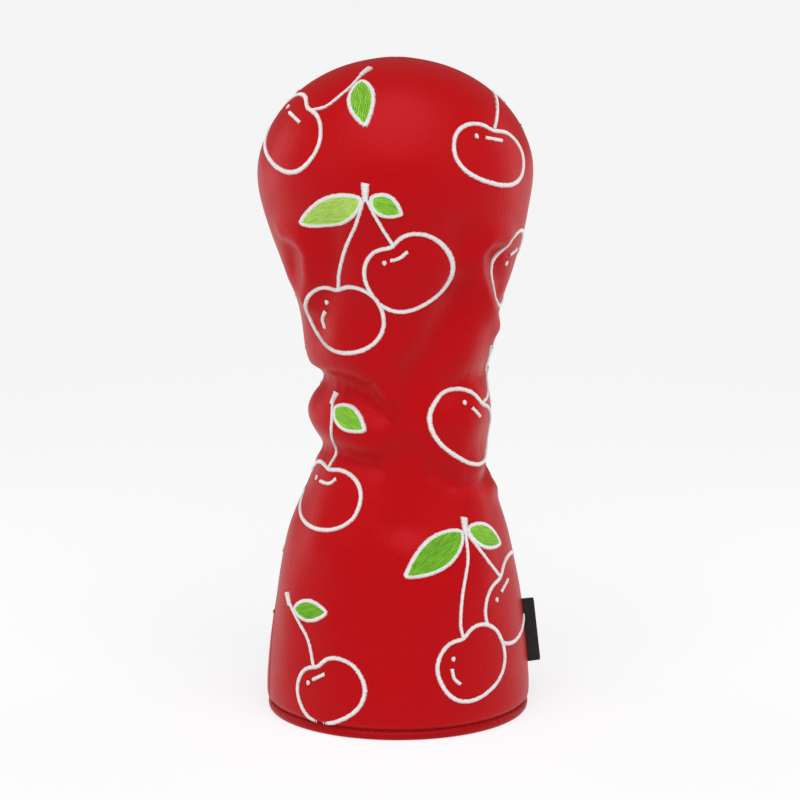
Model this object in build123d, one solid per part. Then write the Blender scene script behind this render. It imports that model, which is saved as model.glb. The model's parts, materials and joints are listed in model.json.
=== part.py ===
import os
from functools import cache
from math import cos, degrees, exp, hypot, pi, radians, sin, sqrt

from build123d import *

# A driver head cover: a stuffed, two-panel leather sock that stands on its own mouth.
# Millimetres, +Z up, the front faces -Y, and the origin is the middle of the mouth on the floor.
os.makedirs("parts", exist_ok=True)

# Outline of the outer leather: half width along X, half depth along Y, and level above the floor.
cover_height = 330.0
mouth_half_width, mouth_half_depth = 65.0, 58.0
skirt_half_width, skirt_half_depth, skirt_level = 67.2, 59.5, 14.0
neck_half_width, neck_half_depth, neck_level = 42.6, 38.5, 155.0
neck_swell = 2.2        # how far the leather stands out between the elastic's two gathers
neck_shift = 1.8        # the neck sits this far to the right of the mouth
head_half_width, head_half_depth, head_drop = 68.0, 57.5, 58.0
head_shift = -1.2
crown_flat = 6.0        # half width of the level patch at the very top

# How the outline closes in, as (share of the height, share of the narrowing or widening).
skirt_taper = [(0.37, 0.20), (0.66, 0.48), (0.85, 0.82)]
head_flare = [(0.18, 0.20), (0.33, 0.29), (0.50, 0.51), (0.74, 0.81)]
crown_angles = [15, 30, 45, 58, 69, 78]

# The wall, from the outside in.
leather_thickness = 1.2
backing_thickness = 0.4
foam_thickness = 3.2
lining_thickness = 2.6
glue_gap = 0.05         # between one layer, or one panel, and the next

# Pieces sewn into the wall.
elastic_width, elastic_thickness = 40.0, 1.0
tape_width, tape_thickness, tape_start = 12.0, 1.0, 16.0
binding_thickness, binding_outer_leg, binding_inner_leg = 0.7, 6.0, 12.0

# Threads.
thread_radius = 0.3
topstitch_level, topstitch_pitch, topstitch_length = 4.3, 4.0, 3.0
seam_stitch_pitch, seam_stitch_length = 4.5, 3.2
zigzag_pitch, zigzag_height, zigzag_gap, zigzag_clear = 5.0, 3.0, 0.5, 0.5
zigzag_inset = 4.0      # from each edge of the elastic
embroidery_height = 0.8
outline_width, stem_width, leaf_edge_width = 2.6, 2.3, 3.0
shine_width, shine_dot, knot_low_width, knot_high_width = 2.2, 1.3, 3.4, 4.8
seam_margin = 0.6       # embroidery stops this far from the side seam

# The folded label in the right-hand seam, and the line about which its flap bends.
label_low, label_length, label_reach, label_thickness = 22.0, 34.0, 5.6, 0.9
label_root_depth = 2.2
hinge_gap, flap_clearance = 1.6, 0.3

wall_thickness = leather_thickness + backing_thickness + foam_thickness + lining_thickness
section_spacing = 12.0  # between the cross-sections that the wall is drawn through
far = 2 * (cover_height + skirt_half_width)     # larger than the whole cover


def outline_rows():
    # The few cross-sections that give the shape: (level, half width, half depth, shift along X).
    gather_low, gather_high = neck_level - elastic_width / 2, neck_level + elastic_width / 2
    head_level = cover_height - head_drop
    rows = [(0, mouth_half_width, mouth_half_depth, 0)]
    rows.append((skirt_level, skirt_half_width, skirt_half_depth, 0))
    for up, across in skirt_taper + [(1.0, 1.0)]:
        rows.append((
            skirt_level + up * (gather_low - skirt_level),
            skirt_half_width + across * (neck_half_width - skirt_half_width),
            skirt_half_depth + across * (neck_half_depth - skirt_half_depth),
            neck_shift * across ** 3,
        ))
    rows.append((neck_level, neck_half_width + neck_swell, neck_half_depth + neck_swell, neck_shift))
    for up, across in [(0.0, 0.0)] + head_flare + [(1.0, 1.0)]:
        rows.append((
            gather_high + up * (head_level - gather_high),
            neck_half_width + across * (head_half_width - neck_half_width),
            neck_half_depth + across * (head_half_depth - neck_half_depth),
            neck_shift + up * (head_shift - neck_shift),
        ))
    for angle in crown_angles:
        rows.append((
            head_level + head_drop * sin(radians(angle)),
            head_half_width * cos(radians(angle)),
            head_half_depth * cos(radians(angle)),
            head_shift,
        ))
    rows.append((cover_height, crown_flat, crown_flat * head_half_depth / head_half_width, head_shift))
    return rows


def smooth_rows(rows, steps):
    # A smooth curve through the rows, with steps rows for each one given.
    knots = [0.0]
    for low, high in zip(rows, rows[1:]):
        knots.append(knots[-1] + sqrt(hypot(high[0] - low[0], high[1] - low[1])))
    last = len(rows) - 1
    slopes = []
    for i in range(len(rows)):
        before, after = max(i - 1, 0), min(i + 1, last)
        run = knots[after] - knots[before]
        slopes.append([(b - a) / run for a, b in zip(rows[before], rows[after])])
    made = []
    for i in range(last):
        span = knots[i + 1] - knots[i]
        for step in range(steps):
            t = step / steps
            h00, h10 = 2 * t ** 3 - 3 * t ** 2 + 1, t ** 3 - 2 * t ** 2 + t
            h01, h11 = 3 * t ** 2 - 2 * t ** 3, t ** 3 - t ** 2
            made.append(tuple(
                h00 * p + h10 * span * m + h01 * q + h11 * span * n
                for p, m, q, n in zip(rows[i], slopes[i], rows[i + 1], slopes[i + 1])
            ))
    return made + [rows[-1]]


def even_rows(rows, spacing):
    # Some of the rows, at an even distance from each other along the wall.
    travelled = [0.0]
    for low, high in zip(rows, rows[1:]):
        travelled.append(travelled[-1] + hypot(high[0] - low[0], high[1] - low[1]))
    count = round(travelled[-1] / spacing)
    picked = [0]
    for i in range(1, count):
        target = travelled[-1] * i / count
        picked.append(min(range(len(rows)), key=lambda k: abs(travelled[k] - target)))
    return [rows[k] for k in picked] + [rows[-1]]


fine_outline = smooth_rows(outline_rows(), 24)
outline = even_rows(fine_outline, section_spacing)


def moved_in(inset):
    # The outline's rows, each moved inwards square to the wall. A negative inset moves them out.
    rows = []
    for i, (level, wide, deep, shift) in enumerate(outline):
        below, above = outline[max(i - 1, 0)], outline[min(i + 1, len(outline) - 1)]
        rise, spread = above[0] - below[0], (above[1] + above[2] - below[1] - below[2]) / 2
        length = hypot(rise, spread)
        out, up = (rise / length, -spread / length) if i else (1.0, 0.0)
        if i == len(outline) - 1:
            out, up = 0.0, 1.0
        rows.append((level - inset * up, wide - inset * out, deep - inset * out, shift))
    return rows


def ring_point(row, angle):
    level, wide, deep, shift = row
    return Vector(shift + wide * sin(angle), -deep * cos(angle), level)


@cache
def body(inset):
    # The solid inside the wall at a given depth, from the floor to the crown.
    sections = []
    for level, wide, deep, shift in moved_in(inset):
        sections.append(Pos(shift, 0, level) * Rot(0, 0, 90) * Ellipse(deep, wide).face())
    return loft(sections)


def row_at(level):
    # The outline's cross-section at any level up to the crown.
    for low, high in zip(fine_outline, fine_outline[1:]):
        if low[0] <= level <= high[0]:
            t = (level - low[0]) / (high[0] - low[0])
            return tuple(p + t * (q - p) for p, q in zip(low, high))
    return fine_outline[-1]


def slab(low, high):
    return Pos(0, 0, (low + high) / 2) * Box(far, far, high - low)


def half(side, margin=0.0):
    # The space in front of the side seams (side -1) or behind them (side 1).
    return Pos(0, side * (margin + far / 2), far / 2 - 1) * Box(far, far, far)


def rod(start, end, radius):
    # A straight piece of thread.
    way = end - start
    return Solid.make_cylinder(radius, way.length, Plane(origin=start, z_dir=way))


def write(name, shape):
    pieces = shape if isinstance(shape, list) else [shape]
    export_step(Compound([solid for piece in pieces for solid in piece.solids()]), f"parts/{name}.step")


# The wall, layer by layer. Each layer is the space between two bodies.
backing_in = leather_thickness
foam_in = backing_in + backing_thickness
lining_in = foam_in + foam_thickness
elastic_low, elastic_high = neck_level - elastic_width / 2, neck_level + elastic_width / 2


def layer(start, end):
    return body(start + glue_gap) - body(end)


def make_binding():
    # A strip folded round the raw edges at the mouth: a short leg outside and a longer one inside.
    inner_leg = body(wall_thickness - binding_thickness) - body(wall_thickness)
    outer_leg = body(0) - body(binding_thickness)
    base = (body(0) - body(wall_thickness)) & slab(0, binding_thickness)
    return base + (outer_leg & slab(0, binding_outer_leg)) + (inner_leg & slab(0, binding_inner_leg))


def binding_room():
    # What the other pieces leave free for the binding.
    inner_leg = body(wall_thickness - binding_thickness - glue_gap)
    outer_leg = body(-1) - body(binding_thickness + glue_gap)
    room = slab(-1, binding_thickness + glue_gap)
    room += outer_leg & slab(-1, binding_outer_leg + glue_gap)
    return room + (inner_leg & slab(-1, binding_inner_leg + glue_gap))


def make_elastic():
    return layer(lining_in - elastic_thickness, lining_in) & slab(elastic_low, elastic_high)


def elastic_room():
    shell = body(lining_in - elastic_thickness) - body(lining_in + 1)
    return shell & slab(elastic_low - glue_gap, elastic_high + glue_gap)


def tape_path(width, low):
    return Pos(0, 0, far / 2 + low) * Box(far, width, far)


def make_seam_tape():
    # Runs up the left seam, over the crown and down the right seam, under the backing.
    # It is joined from three lengths, which meet at the level where the crown begins.
    band = layer(foam_in, foam_in + tape_thickness) & tape_path(tape_width, tape_start)
    joint = cover_height - head_drop
    return (band & slab(0, joint)).solids() + (band & slab(joint, far)).solids()


def tape_room():
    shell = body(foam_in - 1) - body(foam_in + tape_thickness + glue_gap)
    return shell & tape_path(tape_width + 2 * glue_gap, tape_start - glue_gap)


def label_frame():
    # The chord of the right-hand seam beside the label, the way out from it, and the hinge's offset.
    def seam(level):
        return ring_point(row_at(level), pi / 2)

    low, high = seam(label_low), seam(label_low + label_length)
    along = (high - low).normalized()
    out = Vector(along.Z, 0, -along.X)
    steps = [label_low + label_length * k / 12 for k in range(13)]
    bulge = max(0.0, max((seam(level) - low).dot(out) for level in steps))
    return low, along, out, bulge, bulge + hinge_gap


def label_plate(start, end, margin=0.0):
    # A flat piece of the label between two distances from the seam.
    low, along, out, _, _ = label_frame()
    plane = Plane(origin=low + out * start, x_dir=out, z_dir=along)
    thick, high = label_thickness + 2 * margin, label_length + 2 * margin
    return plane.location * Pos((end - start) / 2, 0, label_length / 2) * Box(end - start, thick, high)


def make_label():
    low, along, out, _, hinge = label_frame()
    root = label_plate(-label_root_depth, hinge - label_thickness / 2 - flap_clearance)
    edge = Plane(origin=low + out * hinge, z_dir=along)
    fold = Solid.make_cylinder(label_thickness / 2, label_length, edge)
    return root, label_plate(hinge, label_reach) + fold


def ring_at(level, inset):
    # The edge of one level cross-section at a given depth in the wall.
    return section(body(inset), section_by=Plane.XY.offset(level)).faces()[0].outer_wire().edges()[0]


def spaced(edge, pitch):
    count = 2 * round(edge.length / pitch / 2)
    return [edge.position_at(i / count) for i in range(count)]


def make_topstitching():
    points = spaced(ring_at(topstitch_level, -thread_radius - glue_gap), topstitch_pitch)
    return [
        rod(p, p + (q - p).normalized() * topstitch_length, thread_radius)
        for p, q in zip(points, points[1:] + points[:1])
    ]


def make_zigzag():
    # Two rows inside the lining, one near each edge of the elastic.
    made = []
    for level in (elastic_low + zigzag_inset, elastic_high - zigzag_inset):
        inset = wall_thickness + thread_radius + zigzag_clear
        lows = spaced(ring_at(level - zigzag_height / 2, inset), zigzag_pitch)
        highs = spaced(ring_at(level + zigzag_height / 2, inset), zigzag_pitch)
        count = min(len(lows), len(highs))
        points = [lows[i] if i % 2 else highs[i] for i in range(count)]
        for p, q in zip(points, points[1:] + points[:1]):
            way = (q - p).normalized()
            made.append(rod(p + way * zigzag_gap, q - way * zigzag_gap, thread_radius))
    return made


def make_seam_stitching():
    # Lock stitches in the middle of the tape, up one side, over the crown and down the other.
    middle = section(body(foam_in + tape_thickness / 2), section_by=Plane.XZ).faces()[0].outer_wire()
    made = []
    for edge in middle.edges().filter_by(lambda e: e.center().Z > 1):
        count = round(edge.length / seam_stitch_pitch)
        for i in range(count):
            start, end = edge.position_at((i + 0.1) / count), edge.position_at((i + 0.8) / count)
            if min(start.Z, end.Z) > tape_start + 1:
                made.append(rod(start, end, thread_radius))
    return made


# Embroidery is drawn on a plane that touches the leather, with u to the right and v up, and is
# then laid on the leather along that plane's normal.


def turned(points, centre, turn):
    c, s = cos(radians(turn)), sin(radians(turn))
    return [(centre[0] + c * u - s * v, centre[1] + s * u + c * v) for u, v in points]


def cherry_points(centre, width, height, turn, grow):
    # A round fruit, a little square, with a dip where the stem goes in. grow moves the line outwards.
    points = []
    for k in range(28):
        angle = 2 * pi * k / 28
        c, s = cos(angle), sin(angle)
        round_off = (abs(c) ** 2.3 + abs(s) ** 2.3) ** (-1 / 2.3)
        dip = 1 - 0.17 * exp(-(((degrees(angle) - 90) / 17) ** 2))
        points.append((
            (width / 2 * dip + grow) * round_off * c,
            (height / 2 * dip + grow) * round_off * s,
        ))
    return turned(points, centre, turn)


def closed_face(points):
    return Face(Wire([Spline(*[(u, v, 0) for u, v in points], periodic=True)]))


def stroke(points, width, end_width=None):
    # A line of satin stitch along a smooth curve, from width to end_width.
    end_width = end_width or width
    line = Spline(*[(u, v, 0) for u, v in points]) if len(points) > 2 else Line(*points)
    left, right = [], []
    for k in range(9):
        way, at = line.tangent_at(k / 8), line.position_at(k / 8)
        side = Vector(-way.Y, way.X, 0) * ((width + (end_width - width) * k / 8) / 2)
        left.append(at + side)
        right.append(at - side)
    edges = [Spline(*left), Line(left[-1], right[-1]), Spline(*reversed(right)), Line(right[0], left[0])]
    return Face(Wire(edges))


def leaf_face(base, tip, half_width, inset=0.0):
    # Two arcs that meet in a point at each end.
    base, tip = Vector(*base), Vector(*tip)
    way = (tip - base).normalized()
    base, tip = base + way * inset * 1.4, tip - way * inset * 1.8
    side = Vector(-way.Y, way.X, 0) * (half_width - inset)
    middle = base + (tip - base) * 0.45
    return Face(Wire([ThreePointArc(base, middle + side, tip), ThreePointArc(tip, middle - side, base)]))


def draw(motif):
    # One motif as two flat drawings: the white lines and the green fills.
    white, green = [], []
    for i, fruit in enumerate(motif["cherries"]):
        ring = closed_face(cherry_points(*fruit["shape"], outline_width / 2))
        ring -= closed_face(cherry_points(*fruit["shape"], -outline_width / 2))
        for front in motif["cherries"][:i]:
            ring -= closed_face(cherry_points(*front["shape"], 0))
        white += ring.faces()
        for shine in fruit["shine"]:
            if len(shine) > 1:
                white.append(stroke(shine, shine_width))
            else:
                white.append(Pos(*shine[0]) * Circle(shine_dot).face())
    for base, tip, half_width in motif["leaves"]:
        inner = leaf_face(base, tip, half_width, leaf_edge_width)
        white += (leaf_face(base, tip, half_width) - inner).faces()
        green.append(inner)
    for stem in motif["stems"]:
        white.append(stroke(stem, stem_width))
    for knot in motif["knots"]:
        white.append(stroke(knot, knot_low_width, knot_high_width))
    lines = Sketch() + white
    return lines, [Sketch() + face - lines for face in green]


def touch_plane(angle, level):
    # The plane that touches the leather at an angle round from the front, seen from above.
    turn = radians(angle)
    row = row_at(level)
    up = ring_point(row_at(level + 1.5), turn) - ring_point(row_at(level - 1.5), turn)
    across = Vector(row[1] * cos(turn), row[2] * sin(turn), 0).normalized()
    return Plane(origin=ring_point(row, turn), x_dir=across, z_dir=across.cross(up))


def embroider(name, motif, turn, skin):
    # Each drawing is cut through a thin skin that lies on the leather.
    plane = touch_plane(motif["angle"] + turn, motif["level"])
    lines, fills = draw(motif)
    for kind, drawings in (("lines", [lines]), ("leaves", fills)):
        solids = []
        for drawing in drawings:
            for face in drawing.faces():
                prism = extrude(plane.offset(22).location * face, amount=-56, dir=plane.z_dir)
                solids += (skin & prism).solids()
        if solids:
            write(f"{name}_{kind}", solids)


def cherry(centre, wide, high, turn, *shine):
    return {"shape": (centre, wide, high, turn), "shine": shine}


def motif(angle, level, cherries, stems=(), leaves=(), knots=()):
    drawing = {"cherries": cherries, "stems": stems, "leaves": leaves, "knots": knots}
    return {"angle": angle, "level": level, **drawing}


# The embroidery on one panel. Angles are degrees to the right of the panel's middle.
motifs = {
    "crown_left": motif(
        -46, cover_height - 30,
        [cherry((-12, -2), 50, 34, -35, [(-21, 11)], [(-16, 7), (-4, 1)])],
        stems=[[(-1, 8), (7, 11), (11, 18), (13, 26), (12, 36)]],
        leaves=[((15, 30), (31, 4), 6.5)],
    ),
    "crown_right": motif(
        42, cover_height - 42,
        [cherry((4, -1), 44, 28, -17, [(-4, 8)], [(1, 7), (11, 5)])],
        stems=[[(8, 11), (17, 22), (25, 31), (30, 37)]],
    ),
    "head_pair": motif(
        -11, cover_height - 95,
        [
            cherry((-17, -30), 44, 34, 14, [(-26, -24)], [(-27, -29), (-29, -34), (-28, -38)]),
            cherry((16, -5), 42, 37, 28, [(5, 1)], [(8, 2), (12, 3), (16, 6)]),
        ],
        stems=[[(-4, 32), (-8, 20), (-14, 7), (-18, -6), (-19, -15)], [(-2, 32), (4, 19), (9, 10)]],
        leaves=[((-4, 33), (-38, 16), 8.0), ((-1, 34), (15, 24), 6.0)],
        knots=[[(-3, 32), (-3, 40)]],
    ),
    "head_right": motif(
        71, cover_height - 102,
        [cherry((3, 0), 40, 32, -64, [(-6, 4)], [(-5, 8), (3, 10)])],
    ),
    "neck_right": motif(
        42, neck_level,
        [cherry((5, -4), 48, 32, -35, [(1, 9)], [(5, 6), (10, 1)])],
        stems=[[(12, 7), (19, 10), (25, 18), (24, 27), (21, 35)]],
        leaves=[((25, 32), (38, 18), 5.5)],
    ),
    "neck_left": motif(
        -50, neck_level - 23,
        [cherry((-4, -17), 50, 33, -5, [(-13, -9)], [(-8, -10), (-1, -10), (3, -7)])],
        stems=[[(-2, 33), (-2, 21), (-6, 9), (-4, -2)]],
        leaves=[((0, 29), (21, 19), 6.5)],
    ),
    "skirt_left": motif(
        -36, 35,
        [cherry((5, -15), 40, 35, 29, [(-7, -10)], [(-4, -8), (3, -4)])],
        stems=[[(-25, 29), (-16, 20), (-8, 11), (-4, -1)]],
        leaves=[((-20, 25), (4, 27), 6.0)],
    ),
    "skirt_pair": motif(
        36, 62,
        [
            cherry((0, -26), 42, 35, 24, [(-12, -22)], [(-13, -27), (-12, -32), (-9, -35)]),
            cherry((31, 1), 47, 38, 38, [(17, 3)], [(21, 6), (28, 11)]),
        ],
        stems=[[(1, 38), (0, 25), (-5, 9), (-7, -5), (-6, -12)], [(2, 38), (12, 24), (21, 14)]],
        leaves=[((0, 40), (-32, 20), 8.5), ((2, 41), (26, 29), 6.5)],
        knots=[[(1, 38), (2, 46)]],
    ),
}

label_root, label_flap = make_label()
label_slot = label_plate(-label_root_depth - glue_gap, label_reach, glue_gap)
free = binding_room() + label_slot

leather = body(0) - body(leather_thickness) - free
backing = layer(backing_in, foam_in) - free
foam = layer(foam_in, lining_in) - free - elastic_room() - tape_room()
lining = layer(lining_in, wall_thickness) - free
skin = (body(-embroidery_height) - body(-glue_gap)) & slab(binding_outer_leg + 0.3, far)

for panel, side, turn in (("front", -1, 0), ("back", 1, 180)):
    write(f"{panel}_leather_panel", leather & half(side, glue_gap))
    write(f"{panel}_embroidery_backing", backing & half(side, glue_gap))
    write(f"{panel}_foam_padding", foam & half(side, glue_gap))
    write(f"{panel}_fleece_lining", lining & half(side, glue_gap))
    panel_skin = skin & half(side, seam_margin)
    for name, drawing in motifs.items():
        embroider(f"{panel}_{name}", drawing, turn, panel_skin)

write("mouth_binding", make_binding())
write("neck_elastic_band", make_elastic())
write("side_seam_tape", [length - label_slot for length in make_seam_tape()])
write("side_seam_stitching", make_seam_stitching())
write("mouth_topstitching", make_topstitching())
write("elastic_zigzag_stitching", make_zigzag())
write("woven_label_root", label_root)
write("woven_label_flap", label_flap)
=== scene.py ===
import json
import bpy
import numpy as np
from math import cos, exp, pi, radians, sin
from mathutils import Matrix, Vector
from mathutils.bvhtree import BVHTree

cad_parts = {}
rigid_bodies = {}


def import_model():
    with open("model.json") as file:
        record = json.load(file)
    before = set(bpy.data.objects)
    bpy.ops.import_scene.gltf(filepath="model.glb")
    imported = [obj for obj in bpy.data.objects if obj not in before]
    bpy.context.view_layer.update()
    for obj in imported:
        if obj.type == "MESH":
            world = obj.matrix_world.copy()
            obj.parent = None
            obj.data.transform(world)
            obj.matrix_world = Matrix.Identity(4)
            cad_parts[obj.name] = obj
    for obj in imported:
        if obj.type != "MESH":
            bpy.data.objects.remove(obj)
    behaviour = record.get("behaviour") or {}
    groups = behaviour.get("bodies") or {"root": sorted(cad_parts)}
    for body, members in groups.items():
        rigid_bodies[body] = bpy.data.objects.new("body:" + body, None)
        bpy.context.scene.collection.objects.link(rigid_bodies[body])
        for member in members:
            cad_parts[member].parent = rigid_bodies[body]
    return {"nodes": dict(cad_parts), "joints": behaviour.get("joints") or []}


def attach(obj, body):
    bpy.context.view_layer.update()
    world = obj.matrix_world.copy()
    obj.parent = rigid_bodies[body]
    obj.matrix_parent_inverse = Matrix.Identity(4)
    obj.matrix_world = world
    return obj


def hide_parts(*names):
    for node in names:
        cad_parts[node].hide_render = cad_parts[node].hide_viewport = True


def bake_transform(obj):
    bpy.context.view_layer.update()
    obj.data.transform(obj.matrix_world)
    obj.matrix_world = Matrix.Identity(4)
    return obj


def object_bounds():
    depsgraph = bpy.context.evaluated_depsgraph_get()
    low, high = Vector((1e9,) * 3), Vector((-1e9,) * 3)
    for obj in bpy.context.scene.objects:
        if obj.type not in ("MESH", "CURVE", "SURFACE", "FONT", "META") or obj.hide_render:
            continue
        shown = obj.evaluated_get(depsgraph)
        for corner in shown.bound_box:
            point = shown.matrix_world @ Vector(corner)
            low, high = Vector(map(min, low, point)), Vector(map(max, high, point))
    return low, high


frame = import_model()
cadBox = [list(corner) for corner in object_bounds()]
print("frame loaded:", len(frame["nodes"]), "nodes")

mm = 0.001
rng = np.random.default_rng(7)
bpy.ops.object.select_all(action="DESELECT")


# small helpers

def meshFrom(name, verts, faces):
    # verts in millimetres
    mesh = bpy.data.meshes.new(name)
    mesh.from_pydata([], [], [])
    verts, faces = np.asarray(verts, float) * mm, np.asarray(faces)
    mesh.vertices.add(len(verts))
    mesh.vertices.foreach_set("co", verts.ravel())
    size = faces.shape[1]
    mesh.loops.add(faces.size)
    mesh.loops.foreach_set("vertex_index", faces.ravel().astype(np.int32))
    mesh.polygons.add(len(faces))
    mesh.polygons.foreach_set("loop_start", np.arange(0, faces.size, size, dtype=np.int32))
    mesh.update(calc_edges=True)
    mesh.validate()
    piece = bpy.data.objects.new(name, mesh)
    bpy.context.scene.collection.objects.link(piece)
    return piece


def makeActive(piece):
    bpy.ops.object.select_all(action="DESELECT")
    piece.select_set(True)
    bpy.context.view_layer.objects.active = piece


def facesOut(piece, weld=None):
    # turns every face outwards, after welding points nearer than weld metres
    makeActive(piece)
    bpy.ops.object.mode_set(mode="EDIT")
    bpy.ops.mesh.select_all(action="SELECT")
    if weld:
        bpy.ops.mesh.remove_doubles(threshold=weld)
    bpy.ops.mesh.normals_make_consistent(inside=False)
    bpy.ops.object.mode_set(mode="OBJECT")
    piece.select_set(False)


def smoothShade(piece, angle=None):
    makeActive(piece)
    if angle is None:
        bpy.ops.object.shade_smooth()
    else:
        bpy.ops.object.shade_smooth_by_angle(angle=radians(angle))
    piece.select_set(False)


def unit(vector):
    return vector / np.linalg.norm(vector)


def halfTurn(turn):
    # the same direction, from -180 to 180 degrees
    return turn if turn <= 180 else turn - 360


def beltFaces(rows, section, closed):
    # four-sided faces between rows of points, each row a loop of section points
    faces = []
    for r in range(rows if closed else rows - 1):
        here, there = r * section, (r + 1) % rows * section
        for s in range(section):
            nextOne = (s + 1) % section
            faces.append((here + s, here + nextOne, there + nextOne, there + s))
    return faces


def endFaces(rows, section):
    # closes the two ends of a belt whose loops are flat, side against side
    faces = []
    for end in (0, (rows - 1) * section):
        for s in range(section // 2 - 1):
            faces.append((end + s, end + s + 1, end + section - 2 - s, end + section - 1 - s))
    return faces


def smoothStep(x):
    x = np.clip(x, 0.0, 1.0)
    return x * x * (3 - 2 * x)


# the wall: one creased surface that every layer follows

wall = {
    "levelStep": 1.35,       # mm between rows below the head's widest level
    "fanLevel": 262.0,       # above this level the rows fan out from one point on the axis
    "fanSteps": 74,
    "turnStep": 1.4,         # degrees between columns
    "seamTurn": 11.0,        # degrees the left seam comes forward at the mouth
    "seamTurnTop": 105.0,    # the level where it is back at the side
    "seamRoll": 1.5,         # how deep a panel's edge rolls into the seam, and over what width
    "seamRollWidth": 2.2,
    "castFrom": 160.0,       # how far out the lines start that find the wall
    "slotAside": 1.2,        # how far beside the label's slot the wall is read
    "hemLevel": 4.4,         # where the binding's stitching draws the leather in, and how far
    "hemDraw": 0.8,
    "dome": ((0, 0, 272), (68.0, 57.5, 58.0)),   # the crown's centre and half sizes
}

leatherNodes = [bpy.data.objects[n] for n in ("front_leather_panel", "back_leather_panel")]
cadVerts, cadFaces = [], []
for node in leatherNodes:
    start = len(cadVerts)
    cadVerts += [v.co.copy() for v in node.data.vertices]
    cadFaces += [[start + i for i in p.vertices] for p in node.data.polygons]
cadLeather = BVHTree.FromPolygons(cadVerts, cadFaces)


def castIn(origin, way):
    hit = cadLeather.ray_cast(Vector(origin) * mm, Vector(way))
    return None if hit[0] is None else np.array(hit[0]) / mm


edgeTurns = [0.0, 0.4, 0.8, 1.3, 1.9, 2.7]
middleTurns = np.arange(3.6, 176.5, wall["turnStep"])
halfTurns = np.array(edgeTurns + list(middleTurns) + [180 - t for t in reversed(edgeTurns)]) - 90
levels = np.arange(0, wall["fanLevel"] + 0.01, wall["levelStep"])
fanAngles = np.linspace(0, 90, wall["fanSteps"] + 1)[1:]
rowCount, columnCount = len(levels) + len(fanAngles), len(halfTurns)


def seamForward(level):
    # degrees the left seam stands forward at a level
    return wall["seamTurn"] * (1 - smoothStep(level / wall["seamTurnTop"]))


def bareWall(side):
    # the CAD leather's outside on a grid: rows from mouth to crown, columns from seam to seam
    grid, turns = np.zeros((rowCount, columnCount, 3)), np.zeros((rowCount, columnCount))
    for r in range(rowCount):
        fan = r >= len(levels)
        level = wall["fanLevel"] if fan else levels[r]
        lift = radians(fanAngles[r - len(levels)]) if fan else 0.0
        near = smoothStep(1 - np.abs((halfTurns + 90) if side == 0 else (90 - halfTurns)) / 60)
        for c, turn in enumerate(halfTurns + 180 * side + seamForward(level) * near):
            turns[r, c] = turn
            out = np.array([sin(radians(turn)) * cos(lift), -cos(radians(turn)) * cos(lift), sin(lift)])
            onSeam = abs(out[1]) < 0.002
            off = np.array([0, 0.1 if side else -0.1, 0]) if onSeam else np.zeros(3)
            start = np.array([0, 0, max(level, 0.8)]) + out * wall["castFrom"] + off
            hit = castIn(start, -out)
            if hit is None or hit @ out < 0:  # through the label's slot: read the wall just beside it
                aside = np.array([0, wall["slotAside"] if side else -wall["slotAside"], 0])
                hit = castIn(start + aside, -out) - aside
            grid[r, c] = hit
        grid[r, :, 2] = level if not fan else grid[r, :, 2]
    return grid, turns


def gridNormals(grid):
    along = np.gradient(grid, axis=0)
    across = np.gradient(grid, axis=1)
    normal = np.cross(across, along)
    length = np.linalg.norm(normal, axis=2, keepdims=True)
    normal = np.where(length > 1e-6, normal / np.maximum(length, 1e-6), [0, 0, 1])
    normal[-1] = [0, 0, 1]
    return normal


def steadyNormals(grid):
    # as gridNormals, but over the crown, where the rows run together, taken from the dome's own roundness
    centre, halfSizes = wall["dome"]
    dome = (grid - centre) / np.array(halfSizes) ** 2
    dome /= np.linalg.norm(dome, axis=2, keepdims=True)
    share = smoothStep((grid[..., 2:3] - 300) / 20)
    normal = gridNormals(grid) * (1 - share) + dome * share
    return normal / np.linalg.norm(normal, axis=2, keepdims=True)


def fold(high, left, right, *path):
    # a crest high mm proud of the wall, or below zero a valley, along a path of (degrees round from
    # the front, level); left and right are how wide it falls away on each side, going along the path
    return dict(high=high, left=left, right=right, path=path)


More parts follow.
